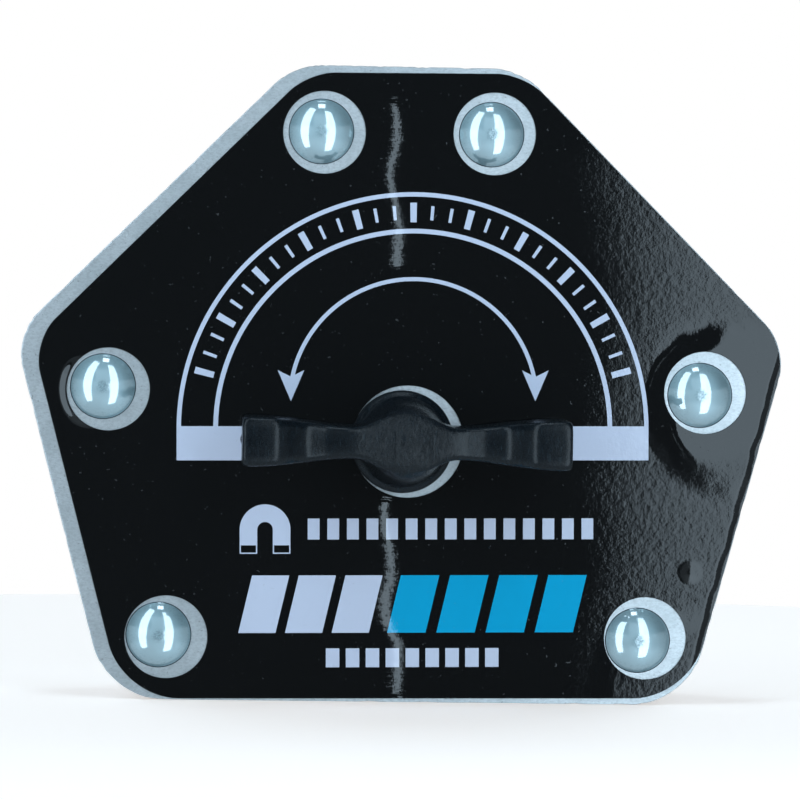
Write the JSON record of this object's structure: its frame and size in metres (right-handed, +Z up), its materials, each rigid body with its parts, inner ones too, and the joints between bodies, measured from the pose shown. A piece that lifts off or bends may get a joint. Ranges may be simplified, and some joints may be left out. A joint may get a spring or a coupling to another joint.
{
  "type": "switchable welding magnet holder",
  "caption": "Flat welding magnet with steel plates shaped for setting steel at 45, 75 and 90 degrees, switched on and off by a turning wing handle.",
  "frame": {"origin": "middle of the footprint, on the level of the plates' bottom edge", "axes": "+Z up from the bottom edge to the top edge, -Y out through the front plate and the handle, +X across to the right as seen from the front"},
  "size_m": [0.1128, 0.0448, 0.094],
  "materials": {
    "zinc_plate": "matt bluish zinc plate with fine grain",
    "label_film": "glossy black film with pale grey-blue and blue print",
    "rivet_steel": "bright, smooth domes",
    "tube_aluminium": "turned",
    "housing_aluminium": "satin",
    "soft_iron": "ground",
    "shim_brass": "rolled",
    "white_plastic": "moulded",
    "magnet_nickel": "nickel plated",
    "bush_bronze": "sintered",
    "spring_steel": "tempered",
    "pin_steel": "ground",
    "shaft_steel": "turned",
    "handle_plastic": "black, moulded with a fine grain"
  },
  "bodies": {
    "holder": {"front_plate": "zinc_plate", "back_plate": "zinc_plate", "front_label": "label_film", "rivets": "rivet_steel", "spacer_tubes": "tube_aluminium", "core_housing": "housing_aluminium", "pole_shoe_left": "soft_iron", "pole_shoe_right": "soft_iron", "front_shim": "shim_brass", "back_shim": "shim_brass", "base_insulator": "white_plastic", "fixed_magnet": "magnet_nickel", "separator_disc": "white_plastic", "rear_bush": "bush_bronze", "shaft_bush": "bush_bronze", "wave_washer": "spring_steel", "stop_pin": "pin_steel"},
    "switch": {"handle": "handle_plastic", "drive_shaft": "shaft_steel", "roll_pin": "pin_steel", "rotor_magnet": "magnet_nickel", "drive_pins": "pin_steel"}
  },
  "joints": [
    {"name": "handle_turn", "type": "hinge", "parent": "holder", "child": "switch", "pos_m": [0, -0.00485, 0.0386], "axis": [0, -1, 0], "range_deg": [0, 180]}
  ]
}
